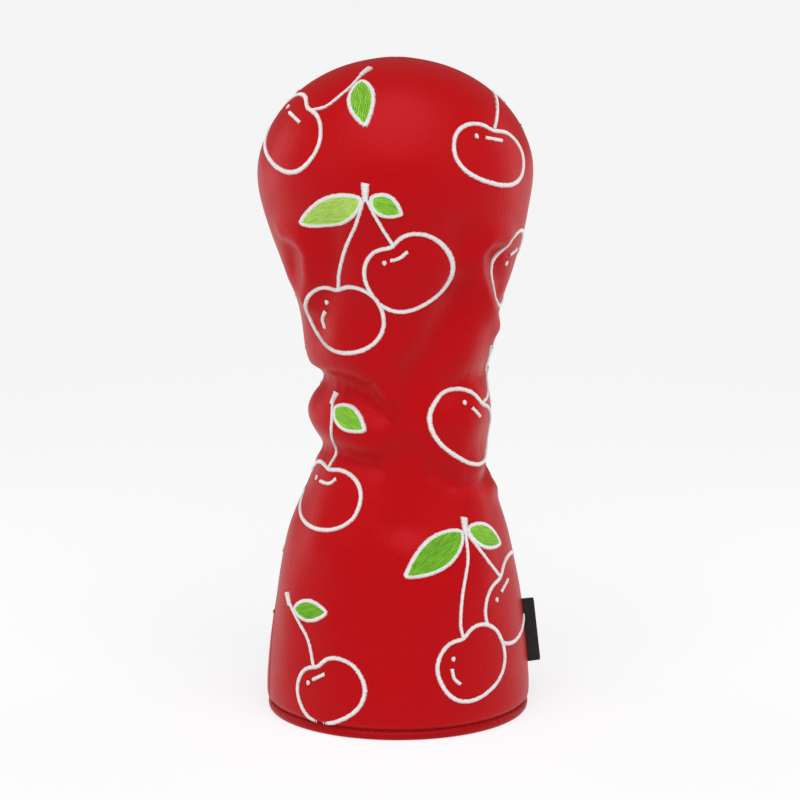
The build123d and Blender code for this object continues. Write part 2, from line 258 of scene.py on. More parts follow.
folds = [
    # where the head tucks under, left
    fold(2.2, 6.5, 5.0, (-64, 248), (-54, 245), (-50, 238), (-53, 227), (-61, 214)),
    fold(-2.6, 6, 6, (-62, 238), (-66, 230)),
    fold(1.3, 7, 7, (-72, 224), (-66, 212)),
    fold(-3.0, 9, 8, (-36, 250), (-38, 238), (-42, 225), (-50, 212), (-56, 203)),
    # and right
    fold(2.7, 4.0, 6.0, (60, 245), (50, 245), (45, 239), (48, 228), (56, 217), (66, 207), (76, 199)),
    fold(-2.6, 5, 5, (55, 237), (60, 228), (68, 218)),
    fold(-2.2, 8, 9, (32, 250), (35, 239), (38, 226), (43, 213)),
    fold(-1.3, 11, 11, (-34, 245), (-16, 248), (2, 250), (20, 248), (34, 244)),
    # the long valley down the middle
    fold(-3.7, 10, 8, (38, 220), (30, 206), (22, 192), (12, 181), (6, 166), (3, 147), (3, 128), (3, 106)),
    fold(1.8, 10, 10, (58, 212), (53, 196), (49, 180)),
    fold(1.4, 12, 12, (-50, 205), (-38, 196), (-24, 190)),
    # upper gather: a ledge that overhangs on the left
    fold(2.6, 11, 4.0, (-100, 180), (-70, 181), (-46, 182), (-29, 181), (-15, 177), (-7, 169)),
    fold(-3.5, 4.6, 8.5, (-96, 173), (-63, 173), (-43, 172), (-24, 169), (-12, 162)),
    fold(2.2, 9, 7, (-88, 155), (-46, 149), (-30, 145), (-16, 145)),
    fold(-2.5, 5, 5, (-92, 138), (-64, 138), (-40, 136), (-17, 134)),
    # the bulge on the right of the neck
    fold(2.6, 11, 11, (62, 166), (52, 152), (50, 140), (60, 130)),
    fold(-2.4, 4.5, 4, (26, 131), (44, 122), (64, 122), (84, 126)),
    fold(-1.3, 5, 5, (36, 170), (52, 176), (76, 176)),
    fold(1.6, 4, 4, (72, 116), (84, 115)),
    # soft runs into the skirt
    fold(-1.1, 8, 8, (-31, 131), (-29, 112), (-22, 88)),
    fold(1.0, 9, 9, (-62, 130), (-56, 108), (-52, 92)),
    fold(-0.9, 8, 8, (29, 120), (25, 102), (22, 84)),
    fold(0.8, 10, 10, (60, 112), (52, 90), (48, 72)),
    fold(1.3, 14, 14, (-24, 116), (-28, 88), (-32, 52)),
    fold(-1.7, 16, 16, (4, 104), (0, 78), (-4, 40)),
    fold(1.0, 12, 12, (-62, 66), (-60, 30)),
    fold(0.9, 15, 15, (22, 92), (20, 50), (18, 22)),
    # behind, as gathered leather lies
    fold(2.3, 6, 6, (104, 245), (120, 246), (132, 238), (128, 226), (116, 214), (106, 206)),
    fold(-2.4, 6, 6, (116, 238), (112, 226)),
    fold(-3.6, 9, 9, (146, 250), (144, 236), (138, 222), (130, 210)),
    fold(2.2, 6, 5, (258, 243), (240, 245), (231, 238), (235, 226), (244, 214)),
    fold(-2.3, 6, 6, (246, 236), (250, 226)),
    fold(-3.6, 9, 9, (214, 250), (218, 236), (224, 222), (236, 208)),
    fold(-1.2, 11, 11, (146, 247), (165, 250), (185, 251), (212, 248)),
    fold(-2.4, 9, 9, (146, 216), (158, 200), (170, 184), (176, 165), (180, 145), (182, 120)),
    fold(2.2, 3, 10, (100, 176), (126, 178), (150, 177), (166, 171)),
    fold(-2.2, 5, 4, (98, 169), (126, 170), (150, 169), (164, 163)),
    fold(2.0, 8, 8, (104, 150), (132, 147), (152, 146)),
    fold(-2.2, 4.5, 4.5, (94, 128), (120, 134), (146, 134), (162, 131)),
    fold(-1.8, 5, 5, (196, 172), (220, 176), (244, 175), (262, 172)),
    fold(1.9, 10, 9, (204, 154), (226, 150), (250, 156)),
    fold(-2.2, 4.5, 4.5, (198, 133), (222, 129), (246, 134), (266, 136)),
    fold(-1.0, 9, 9, (150, 128), (156, 106), (160, 88)),
    fold(0.9, 10, 10, (222, 126), (216, 104), (212, 86)),
]


def foldLift(turns, grid):
    # how far each point of the wall stands out or in, in mm
    radius = np.hypot(grid[..., 0], grid[..., 1])
    level, lift = grid[..., 2], np.zeros(turns.shape)
    for one in folds:
        path = one["path"]
        middle = path[len(path) // 2][0]
        turn = (turns - middle + 180) % 360 - 180
        best, side = np.full(turns.shape, 1e9), np.zeros(turns.shape)
        for (t0, z0), (t1, z1) in zip(path, path[1:]):
            px, py = np.radians(turn - (t0 - middle)) * radius, level - z0
            sx, sy = np.radians(t1 - t0) * radius, z1 - z0
            k = np.clip((px * sx + py * sy) / (sx * sx + sy * sy), 0, 1)
            dx, dy = px - k * sx, py - k * sy
            away = np.hypot(dx, dy)
            near = away < best
            best = np.where(near, away, best)
            side = np.where(near, sx * dy - sy * dx, side)
        onLeft = smoothStep(0.5 + 0.5 * side / (np.abs(side) + 1e-6))
        wide = one["right"] + (one["left"] - one["right"]) * onLeft
        lift += one["high"] * np.exp(-(best / wide) ** 2)
    return lift


def softWaves(turns, grid):
    # the slow unevenness of stuffed leather, and the small gathers along the elastic's two edges
    turn, level = np.radians(turns), grid[..., 2]
    wave = 0.35 * np.sin(3 * turn + level / 23 + 0.6) * np.sin(level / 31 + 2 * np.cos(turn))
    wave += 0.22 * np.sin(5 * turn - level / 17 + 1.9) * np.cos(level / 19 + 1.1)
    wave += 0.12 * np.sin(9 * turn + level / 9 + 0.3) * np.sin(level / 11 + 2.2)
    for height, phase in ((175.0, 0.4), (135.0, 1.7)):
        near = np.exp(-((level - height) / 8.0) ** 2)
        ripple = np.sin(34 * turn + 3 * np.sin(2 * turn + phase)) * (0.6 + 0.4 * np.sin(5 * turn + phase))
        wave += 0.10 * near * ripple
    crown = smoothStep((325 - level) / 30)
    return wave * crown


def rollIn(grid):
    # how far panel edges roll into the side seams
    seamGap = np.minimum(np.abs(halfTurns + 90), np.abs(90 - halfTurns))[None, :] * np.pi / 180
    reach = seamGap * np.hypot(grid[..., 0], grid[..., 1])
    crown = np.abs(grid[..., 1])
    reach = np.where(grid[..., 2] > wall["fanLevel"], np.minimum(reach, crown), reach)
    x = 1 - np.clip(reach / wall["seamRollWidth"], 0, 1)
    return wall["seamRoll"] * (1 - np.sqrt(1 - 0.98 * x * x))


def boxBlur(field, rows, columns):
    # each value becomes the mean of its neighbours
    for axis, width in ((0, rows), (1, columns)):
        pad = [(0, 0), (0, 0)]
        pad[axis] = (width, width)
        wide = np.pad(field, pad, mode="edge")
        total = np.cumsum(np.insert(wide, 0, 0, axis=axis), axis=axis)
        size = 2 * width + 1
        if axis == 0:
            field = (total[size:] - total[:-size]) / size
        else:
            field = (total[:, size:] - total[:, :-size]) / size
    return field


def lowest(field, rows, columns):
    # each value becomes the lowest of its neighbours
    made = field.copy()
    for r in range(-rows, rows + 1):
        made = np.minimum(made, np.roll(field, r, axis=0))
    base = np.pad(made, ((0, 0), (columns, columns)), mode="edge")
    for c in range(2 * columns + 1):
        made = np.minimum(made, base[:, c:c + field.shape[1]])
    return made


halves = []   # front and back: the leather's outside and the calmer wall that the inner layers follow
for side in (0, 1):
    bare, turns = bareWall(side)
    bareNormal = steadyNormals(bare)
    lift = foldLift(turns, bare) + softWaves(turns, bare)
    lift *= smoothStep((bare[..., 2] - 4) / 30)
    hem = wall["hemDraw"] * np.exp(-((bare[..., 2] - wall["hemLevel"]) / 1.5) ** 2)
    surface = bare + bareNormal * (lift - rollIn(bare) - hem)[..., None]
    deep = boxBlur(lowest(lift, 4, 4), 3, 3) - 0.1
    inner = bare + bareNormal * deep[..., None]
    halves.append(dict(surface=surface, normal=gridNormals(surface), bareNormal=bareNormal,
                       inner=inner, innerNormal=steadyNormals(inner)))
print("wall shaped:", rowCount, "rows,", columnCount, "columns a panel")


def gridFaces(rows, columns, offset=0, flip=False):
    r, c = np.meshgrid(np.arange(rows - 1), np.arange(columns - 1), indexing="ij")
    a = (r * columns + c).ravel() + offset
    quads = np.stack([a, a + 1, a + columns + 1, a + columns], axis=1)
    return quads[:, ::-1] if flip else quads


def shellPiece(name, outer, inner):
    # a closed shell between two grids of the same size
    rows, columns = outer.shape[:2]
    verts = np.concatenate([outer.reshape(-1, 3), inner.reshape(-1, 3)])
    count = rows * columns
    faces = [gridFaces(rows, columns), gridFaces(rows, columns, count, flip=True)]
    index = np.arange(count).reshape(rows, columns)
    for edge, flip in ((index[0], False), (index[-1], True), (index[:, 0], True), (index[:, -1], False)):
        a, b = edge[:-1], edge[1:]
        quads = np.stack([b, a, a + count, b + count], axis=1)
        faces.append(quads[:, ::-1] if flip else quads)
    piece = meshFrom(name, verts, np.concatenate(faces))
    facesOut(piece, weld=0.00002)
    return piece


# materials

def newGroup(name, inputs, outputs):
    group = bpy.data.node_groups.new(name, "ShaderNodeTree")
    for label, kind, value in inputs:
        socket = group.interface.new_socket(label, in_out="INPUT", socket_type=kind)
        if value is not None:
            socket.default_value = value
    for label, kind in outputs:
        group.interface.new_socket(label, in_out="OUTPUT", socket_type=kind)
    return group, group.nodes.new("NodeGroupInput"), group.nodes.new("NodeGroupOutput")


def math(tree, operation, a, b=None):
    node = tree.nodes.new("ShaderNodeMath")
    node.operation = operation
    for socket, value in zip(node.inputs, (a, b)):
        if isinstance(value, (int, float)):
            socket.default_value = value
        elif value is not None:
            tree.links.new(value, socket)
    return node.outputs[0]


def mixColour(tree, amount, a, b):
    node = tree.nodes.new("ShaderNodeMix")
    node.data_type = "RGBA"
    for socket, value in ((node.inputs[0], amount), (node.inputs[6], a), (node.inputs[7], b)):
        if isinstance(value, tuple):
            socket.default_value = (*value, 1.0)
        elif isinstance(value, (int, float)):
            socket.default_value = value
        else:
            tree.links.new(value, socket)
    return node.outputs[2]


def noise(tree, place, scale, detail=2.0, rough=0.5):
    node = tree.nodes.new("ShaderNodeTexNoise")
    node.inputs["Scale"].default_value = scale
    node.inputs["Detail"].default_value = detail
    node.inputs["Roughness"].default_value = rough
    tree.links.new(place, node.inputs["Vector"])
    return node.outputs["Fac"]


def buildGrain():
    # fine pebbled grain: rounded cells, broken up by a finer noise
    group, start, end = newGroup(
        "leatherGrain",
        [("Place", "NodeSocketVector", None), ("Cells", "NodeSocketFloat", 900.0),
         ("Fine", "NodeSocketFloat", 0.35)],
        [("Height", "NodeSocketFloat"), ("Pores", "NodeSocketFloat"), ("Drift", "NodeSocketFloat")],
    )
    links = group.links
    warp = group.nodes.new("ShaderNodeTexNoise")
    warp.inputs["Scale"].default_value = 260
    links.new(start.outputs["Place"], warp.inputs["Vector"])
    push = group.nodes.new("ShaderNodeVectorMath")
    push.operation = "MULTIPLY_ADD"
    push.inputs[1].default_value = (0.0012, 0.0012, 0.0012)
    links.new(warp.outputs["Color"], push.inputs[0])
    links.new(start.outputs["Place"], push.inputs[2])
    cells = group.nodes.new("ShaderNodeTexVoronoi")
    cells.feature = "SMOOTH_F1"
    cells.inputs["Smoothness"].default_value = 0.55
    links.new(push.outputs[0], cells.inputs["Vector"])
    links.new(start.outputs["Cells"], cells.inputs["Scale"])
    pebble = math(group, "SUBTRACT", 1.0, cells.outputs["Distance"])
    fine = noise(group, start.outputs["Place"], 2600, 3.0)
    height = math(group, "ADD", pebble, math(group, "MULTIPLY", fine, start.outputs["Fine"]))
    links.new(height, end.inputs["Height"])
    pores = math(group, "SUBTRACT", cells.outputs["Distance"], 0.42)
    pores = math(group, "MULTIPLY", pores, 3.0)
    pores.node.use_clamp = True
    links.new(pores, end.inputs["Pores"])
    links.new(noise(group, start.outputs["Place"], 24, 3.0), end.inputs["Drift"])
    return group


def buildThreadTone():
    # each thread's own small difference in tone, and the fibres along it
    group, start, end = newGroup(
        "threadTone",
        [("Place", "NodeSocketVector", None), ("Tone", "NodeSocketFloat", 0.5)],
        [("Shade", "NodeSocketFloat"), ("Height", "NodeSocketFloat")],
    )
    fibre = noise(group, start.outputs["Place"], 5200, 2.0)
    own = math(group, "MULTIPLY", start.outputs["Tone"], 0.7)
    group.links.new(math(group, "ADD", own, math(group, "MULTIPLY", fibre, 0.3)), end.inputs["Shade"])
    group.links.new(fibre, end.inputs["Height"])
    return group


def buildWeave():
    # plain weave on two crossed waves, for cloth, tape, elastic and the label
    group, start, end = newGroup(
        "clothWeave",
        [("Place", "NodeSocketVector", None), ("Count", "NodeSocketFloat", 2500.0)],
        [("Height", "NodeSocketFloat"), ("Shade", "NodeSocketFloat")],
    )
    parts = group.nodes.new("ShaderNodeSeparateXYZ")
    group.links.new(start.outputs["Place"], parts.inputs[0])
    waves = []
    for axis in ("X", "Y", "Z"):
        turn = math(group, "MULTIPLY", parts.outputs[axis], start.outputs["Count"])
        waves.append(math(group, "SINE", turn))
    cross = math(group, "MULTIPLY", math(group, "ADD", waves[0], waves[1]), waves[2])
    group.links.new(cross, end.inputs["Height"])
    shade = noise(group, start.outputs["Place"], 300, 2.0)
    group.links.new(shade, end.inputs["Shade"])
    return group


grainGroup, threadGroup, weaveGroup = buildGrain(), buildThreadTone(), buildWeave()


def newMaterial(name, rough, **sockets):
    material = bpy.data.materials.new(name)
    material.use_nodes = True
    tree = material.node_tree
    shader = next(n for n in tree.nodes if n.type == "BSDF_PRINCIPLED")
    shader.inputs["Roughness"].default_value = rough
    for label, value in sockets.items():
        shader.inputs[label.replace("_", " ")].default_value = value
    place = tree.nodes.new("ShaderNodeTexCoord").outputs["Object"]
    return material, tree, shader, place


def addGroup(tree, group, place, **values):
    node = tree.nodes.new("ShaderNodeGroup")
    node.node_tree = group
    tree.links.new(place, node.inputs["Place"])
    for label, value in values.items():
        if isinstance(value, (int, float)):
            node.inputs[label].default_value = value
        else:
            tree.links.new(value, node.inputs[label])
    return node


def addBump(tree, shader, height, distance, strength=1.0):
    bump = tree.nodes.new("ShaderNodeBump")
    bump.inputs["Strength"].default_value = strength
    bump.inputs["Distance"].default_value = distance
    tree.links.new(height, bump.inputs["Height"])
    tree.links.new(bump.outputs[0], shader.inputs["Normal"])


def leatherMaterial(name, light, dark, cells, rough):
    material, tree, shader, place = newMaterial(name, rough, Specular_IOR_Level=0.32)
    shader.inputs["Specular Tint"].default_value = (1.0, 0.22, 0.27, 1.0)
    grain = addGroup(tree, grainGroup, place, Cells=cells, Fine=0.35)
    colour = mixColour(tree, grain.outputs["Drift"], light, dark)
    deep = math(tree, "MULTIPLY", grain.outputs["Pores"], 0.15)
    pore = mixColour(tree, deep, colour, tuple(0.55 * v for v in dark))
    tree.links.new(pore, shader.inputs["Base Color"])
    gloss = math(tree, "ADD", rough - 0.05, math(tree, "MULTIPLY", grain.outputs["Drift"], 0.1))
    tree.links.new(gloss, shader.inputs["Roughness"])
    addBump(tree, shader, grain.outputs["Height"], 0.00012, 0.8)
    return material


def threadMaterial(name, light, dark, rough=0.42):
    material, tree, shader, place = newMaterial(name, rough, Sheen_Weight=0.04, Specular_IOR_Level=0.3)
    tone = tree.nodes.new("ShaderNodeAttribute")
    tone.attribute_name = "tone"
    thread = addGroup(tree, threadGroup, place, Tone=tone.outputs["Fac"])
    tree.links.new(mixColour(tree, thread.outputs["Shade"], dark, light), shader.inputs["Base Color"])
    addBump(tree, shader, thread.outputs["Height"], 0.00004, 0.5)
    return material


def clothMaterial(name, light, dark, count, rough=0.85, bump=0.0001, sheen=0.3):
    material, tree, shader, place = newMaterial(name, rough, Sheen_Weight=sheen)
    weave = addGroup(tree, weaveGroup, place, Count=count)
    tree.links.new(mixColour(tree, weave.outputs["Shade"], dark, light), shader.inputs["Base Color"])
    addBump(tree, shader, weave.outputs["Height"], bump, 0.6)
    return material


redLeather = leatherMaterial("redLeather", (0.485, 0.0030, 0.0050), (0.455, 0.0024, 0.0040), 950, 0.40)
bindingLeather = leatherMaterial("bindingLeather", (0.40, 0.0026, 0.0040), (0.35, 0.0020, 0.0034), 1050, 0.44)
whiteThread = threadMaterial("whiteThread", (0.93, 0.91, 0.90), (0.80, 0.77, 0.76))
leafGreens = [
    threadMaterial("leafLight", (0.72, 0.98, 0.24), (0.38, 0.70, 0.08)),
    threadMaterial("leafMiddle", (0.42, 0.90, 0.07), (0.18, 0.50, 0.028)),
    threadMaterial("leafDark", (0.31, 0.76, 0.035), (0.12, 0.40, 0.014)),
]
redThread = threadMaterial("redThread", (0.36, 0.012, 0.016), (0.20, 0.006, 0.008), 0.5)
foamMaterial = clothMaterial("foamPadding", (0.64, 0.62, 0.56), (0.54, 0.52, 0.46), 1500, 0.95, 0.0002, 0.0)
backingCloth = clothMaterial("backingCloth", (0.80, 0.80, 0.78), (0.70, 0.70, 0.68), 4000, 0.9)
tapeCloth = clothMaterial("tapeCloth", (0.62, 0.60, 0.55), (0.52, 0.50, 0.45), 5000, 0.9)
elasticCloth = clothMaterial("elasticCloth", (0.66, 0.66, 0.64), (0.52, 0.52, 0.50), 4200, 0.8)
fleeceCloth = clothMaterial("fleeceCloth", (0.030, 0.030, 0.033), (0.014, 0.014, 0.016), 2100, 0.95, 0.0004, 0.6)
print("materials made")


def wear(piece, material):
    # gives a piece its one material
    piece.data.materials.clear()
    piece.data.materials.append(material)


def sewOn(piece, material, angle=None):
    # a finished piece that moves with the cover
    smoothShade(piece, angle)
    wear(piece, material)
    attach(piece, "cover")


# leather, backing, foam and lining

# start and end are depths into the wall, in mm; of the grid's rows and columns, one in so many is kept
layers = {
    "leather": dict(start=0.0, end=1.2, every=1, slot="red_leather", node="leather_panel", material=redLeather),
    "backing": dict(start=1.25, end=1.6, every=3, slot="backing_felt", node="embroidery_backing",
                    material=backingCloth),
    "foam": dict(start=1.65, end=4.8, every=3, slot="foam", node="foam_padding", material=foamMaterial),
    "lining": dict(start=4.85, end=7.4, every=2, slot="black_fleece", node="fleece_lining", material=fleeceCloth),
}


def everyFew(grid, every):
    rows = sorted(set(range(0, grid.shape[0], every)) | {grid.shape[0] - 1})
    columns = sorted(set(range(0, grid.shape[1], every)) | {grid.shape[1] - 1})
    return grid[np.ix_(rows, columns)]


for side, panel in enumerate(("front", "back")):
    half = halves[side]
    for name, layer in layers.items():
        if name == "leather":
            hemRow = np.searchsorted(levels, 3.9)
            outer = half["surface"][hemRow:]
            inner = outer - half["bareNormal"][hemRow:] * layer["end"]
        else:
            first = np.searchsorted(levels, 1.4)
            base = everyFew(half["inner"][first:], layer["every"])
            normal = everyFew(half["innerNormal"][first:], layer["every"])
            outer, inner = base - normal * layer["start"], base - normal * layer["end"]
            gap = 0.15 if side else -0.15   # keeps the two panels' layers apart at the seams
            outer[:, [0, -1], 1] += gap
            inner[:, [0, -1], 1] += gap
        piece = shellPiece(f"{panel}_{name}", outer, inner)
        sewOn(piece, layer["material"], 50)
        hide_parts(f"{panel}_{layer['node']}")
print("wall layers made")


# reading points off the wall

def sideOf(turn):
    return 0 if abs((turn + 180) % 360 - 180) <= 90 else 1


def rowOf(level):
    return level / wall["levelStep"]


def wallPoint(level, turn, inset, kind="surface"):
    # a point on the wall at a level below the fan, by a straight blend of the grid's four corners
    side = sideOf(turn)
    half = halves[side]
    outside = kind == "surface"
    grid, normal = half["surface" if outside else "inner"], half["normal" if outside else "innerNormal"]
    local = (turn - 180 * side + 180) % 360 - 180
    r = min(rowOf(level), len(levels) - 2)
    c = float(np.interp(local, halfTurns, np.arange(columnCount)))
    r0, c0 = int(r), min(int(c), columnCount - 2)
    fr, fc = r - r0, c - c0

    def blend(g):
        low = g[r0, c0] * (1 - fc) + g[r0, c0 + 1] * fc
        high = g[r0 + 1, c0] * (1 - fc) + g[r0 + 1, c0 + 1] * fc
        return low * (1 - fr) + high * fr

    return blend(grid) - blend(normal) * inset


outerVerts = np.concatenate([h["surface"].reshape(-1, 3) for h in halves])
outerNormals = np.concatenate([h["normal"].reshape(-1, 3) for h in halves])
outerFaces = np.concatenate([gridFaces(rowCount, columnCount, first) for first in (0, rowCount * columnCount)])
outerTree = BVHTree.FromPolygons([Vector(v) for v in outerVerts], [list(map(int, f)) for f in outerFaces])


def landOn(start, way, reach=70.0, grazing=-0.06):
    # where a line meets the leather, with the smooth normal there; nothing if it only grazes it
    point, _, index, far = outerTree.ray_cast(Vector(start), Vector(way))
    if point is None or far > reach:
        return None
    corners = outerFaces[index]
    point = np.array(point)
    weight = 1 / (np.linalg.norm(outerVerts[corners] - point, axis=1) + 0.05)
    normal = unit((outerNormals[corners] * weight[:, None]).sum(axis=0))
    return None if normal @ np.array(way) > grazing else (point, normal)


# threads

def strandRings(points, across, lifts, wide, thick):
    # one thread as a flat three-sided strand through points; across and lifts are unit vectors
    rings = []
    last = len(points) - 1
    for i, (p, a, n) in enumerate(zip(points, across, lifts)):
        slim = thread["endSlim"] if i in (0, last) else 1.0
        rings.append([p - a * wide * slim / 2, p + a * wide * slim / 2, p + n * thick])
    return rings


class threadBatch:
    # many strands gathered into one mesh, each with its own tone
    def __init__(self):
        self.verts, self.faces, self.tones = [], [], []

    def add(self, rings, tone):
        start, sides = len(self.verts), len(rings[0])
        for ring in rings:
            self.verts += list(ring)
        for face in beltFaces(len(rings), sides, closed=False):
            self.faces.append(tuple(start + k for k in face))
        last = start + (len(rings) - 1) * sides
        self.faces += [tuple(range(start, start + sides))[::-1], tuple(range(last, last + sides))]
        self.tones += [tone] * (len(rings) * sides)

    def piece(self, name):
        mesh = bpy.data.meshes.new(name)
        mesh.from_pydata([Vector(v) * mm for v in self.verts], [], self.faces)
        mesh.update()
        tone = mesh.attributes.new("tone", "FLOAT", "POINT")
        tone.data.foreach_set("value", np.array(self.tones, dtype=np.float32))
        piece = bpy.data.objects.new(name, mesh)
        bpy.context.scene.collection.objects.link(piece)
        facesOut(piece)
        return piece


# embroidery, in mm: how far apart its threads lie, how wide, thick and high they are, how unevenly they
# end, and the degrees they lean
thread = dict(pitch=0.42, wide=0.52, thick=0.16, lift=0.62, slant=9.0, jitter=0.10, fillPitch=0.40, fillStitch=4.2,
              fillWide=0.5, fillLow=0.18, fillHigh=0.34, dotLift=0.6, shineLift=0.55, stemLift=0.66, knotLift=0.72,
              dive=-0.12, shoulder=0.72, endSlim=0.55, castFrom=24.0)
widths = dict(outline=2.25, stem=1.95, leafEdge=2.3, shine=1.9, shineDot=1.2, knotLow=3.0, knotHigh=4.4)
top = cadBox[1][2] / mm
neckLevel = 155.0


def cherry(centre, wide, high, turn, *shine):
    return dict(centre=centre, wide=wide, high=high, turn=turn, shine=shine)


# Degrees round from the panel's middle, level, then drawings in mm on the plane that touches there.
motifs = {
    "crown_left": dict(
        turn=-46, level=top - 30, cherries=[cherry((-12, -2), 50, 34, -35, [(-21, 11)], [(-16, 7), (-4, 1)])],
        stems=[[(-1, 8), (7, 11), (11, 18), (13, 26), (12, 36)]], leaves=[((15, 30), (31, 4), 6.5, 1)],
        knots=[[(12.2, 33), (11.8, 39)]]),
    "crown_right": dict(
        turn=42, level=top - 42, cherries=[cherry((4, -1), 44, 28, -17, [(-4, 8)], [(1, 7), (11, 5)])],
        stems=[[(8, 11), (17, 22), (25, 31), (30, 37)]]),
    "head_pair": dict(
        turn=-11, level=top - 95,
        cherries=[cherry((-17, -29.5), 41, 33, 14, [(-26, -24)], [(-27, -29), (-29, -34), (-28, -38)]),
                  cherry((15.5, -5), 40.5, 37, 28, [(5, 1)], [(8, 2), (12, 3), (16, 6)])],
        stems=[[(-4, 32), (-8, 20), (-14, 7), (-18, -6), (-19, -15)], [(-2, 32), (4, 19), (9, 10)]],
        leaves=[((-4, 33), (-38, 16), 8.0, 0), ((-1, 34), (15, 24), 6.0, 1)], knots=[[(-3, 32), (-3, 40)]]),
    "head_right": dict(
        turn=71, level=top - 102, cherries=[cherry((3, 0), 40, 32, -64, [(-6, 4)], [(-5, 8), (3, 10)])]),
    "neck_right": dict(
        turn=42, level=neckLevel, cherries=[cherry((5, -4), 48, 32, -35, [(1, 9)], [(5, 6), (10, 1)])],
        stems=[[(12, 7), (19, 10), (25, 18), (24, 27), (21, 35)]], leaves=[((25, 32), (38, 18), 5.5, 1)]),
    "neck_left": dict(
        turn=-50, level=neckLevel - 23,
        cherries=[cherry((-4, -16.5), 46, 32, -5, [(-13, -9)], [(-8, -10), (-1, -10), (3, -7)])],
        stems=[[(-2, 33), (1.5, 21), (-0.5, 9), (-3.5, -2)]], leaves=[((0.5, 29), (21, 19), 6.5, 1)],
        knots=[[(-2, 30), (-1.6, 35.5)]]),
    "skirt_left": dict(
        turn=-36, level=35, cherries=[cherry((5, -12.2), 38.5, 31.2, 29, [(-7, -10)], [(-4, -8), (3, -4)])],
        stems=[[(-25, 29), (-16, 20), (-8, 11), (-4, -1)]], leaves=[((-20, 25), (4, 27), 6.0, 2)],
        knots=[[(-23, 26), (-26.5, 31.5)]]),
    "skirt_pair": dict(
        turn=36, level=62,
        cherries=[cherry((0, -26), 40.5, 35, 24, [(-12, -22)], [(-13, -27), (-12, -32), (-9, -35)]),
                  cherry((31, 1), 47, 38, 38, [(17, 3)], [(21, 6), (28, 11)])],
        stems=[[(1, 38), (0, 25), (-5, 9), (-7, -5), (-6, -12)], [(2, 38), (12, 24), (21, 14)]],
        leaves=[((0, 40), (-32, 20), 8.5, 2), ((2, 41), (26, 29), 6.5, 1)], knots=[[(1, 38), (2, 46)]]),
}


def cherryLoop(fruit, grow=0.0, count=240, squareness=2.3):
    # a cherry's outline, a little squarer than an ellipse
    loop = []
    for k in range(count):
        angle = 2 * pi * k / count
        c, s = cos(angle), sin(angle)
        roundOff = (abs(c) ** squareness + abs(s) ** squareness) ** (-1 / squareness)
        dip = 1 - 0.17 * exp(-((np.degrees(angle) - 90) / 17) ** 2)   # where the stem goes in
        u, v = (fruit["wide"] / 2 * dip + grow) * roundOff * c, (fruit["high"] / 2 * dip + grow) * roundOff * s
        turn, (x, y) = radians(fruit["turn"]), fruit["centre"]
        loop.append((x + cos(turn) * u - sin(turn) * v, y + sin(turn) * u + cos(turn) * v))
    return np.array(loop)


def smoothLine(points, step=0.4):
    # a smooth curve through a few points
    points = np.array(points, float)
    if len(points) == 2:
        fine = points
    else:
        ext = np.vstack([2 * points[0] - points[1], points, 2 * points[-1] - points[-2]])
        fine = []
        for i in range(1, len(ext) - 2):
            for t in np.linspace(0, 1, 16, endpoint=False):
                a, b, c, d = ext[i - 1], ext[i], ext[i + 1], ext[i + 2]
                square, cube = 2 * a - 5 * b + 4 * c - d, 3 * b - a - 3 * c + d
                fine.append(0.5 * (2 * b + (c - a) * t + square * t * t + cube * t ** 3))
        fine = np.array(fine + [points[-1]])
    return evenLine(fine, step)


def evenLine(points, step):
    # the same line with its points an even step apart
    run = np.concatenate([[0], np.cumsum(np.linalg.norm(np.diff(points, axis=0), axis=1))])
    count = max(3, int(run[-1] / step) + 1)
    at = np.linspace(0, run[-1], count)
    return np.stack([np.interp(at, run, points[:, k]) for k in range(2)], axis=1)


def insideLoop(loop, point):
    x, y = point
    ax, ay = loop[:, 0], loop[:, 1]
    bx, by = np.roll(ax, -1), np.roll(ay, -1)
    cross = (ay > y) != (by > y)
    with np.errstate(divide="ignore", invalid="ignore"):
        at = (bx - ax) * (y - ay) / (by - ay) + ax
    return bool(np.count_nonzero(cross & (x < at)) % 2)


def leafSides(base, tip, half, inset=0.0):
    # a leaf's two sides, from base to tip
    base, tip = np.array(base, float), np.array(tip, float)
    way = (tip - base) / np.linalg.norm(tip - base)
    base, tip = base + way * inset * 1.1, tip - way * inset * 1.5
    side = np.array([-way[1], way[0]]) * (half - inset)
    shares = 0.5 - 0.5 * np.cos(np.linspace(0, pi, 48))
    swell = np.abs(np.sin(pi * shares ** 0.86)) ** 0.78   # full near the stem, drawn out to the tip
    return [base + (tip - base) * shares[:, None] + sign * side * swell[:, None] for sign in (1, -1)]


def planeAt(turn, level, side):
    # the plane that touches the bare wall: its point, its right, up and out directions
    far, beside, step = 200, 1.0, 1.5   # it reads just beside the label's slot

    def ringPoint(z):
        right, left = castIn((far, beside, z), (-1, 0, 0)), castIn((-far, beside, z), (1, 0, 0))
        middle = (right[0] + left[0]) / 2
        front = castIn((middle, -far, z), (0, 1, 0))
        angle = radians(turn + 180 * side)
        wide, deep = (right[0] - left[0]) / 2, -front[1]
        return np.array([middle + wide * sin(angle), -deep * cos(angle), z]), wide, deep, angle

    point, wide, deep, angle = ringPoint(level)
    rise = ringPoint(level + step)[0] - ringPoint(level - step)[0]
    right = unit(np.array([wide * cos(angle), deep * sin(angle), 0]))
    out = unit(np.cross(right, rise))
    return point, right, np.cross(out, right), out


seamMargin, hemTop = 0.9, 4.5   # stitches stop this near a seam, and at this level


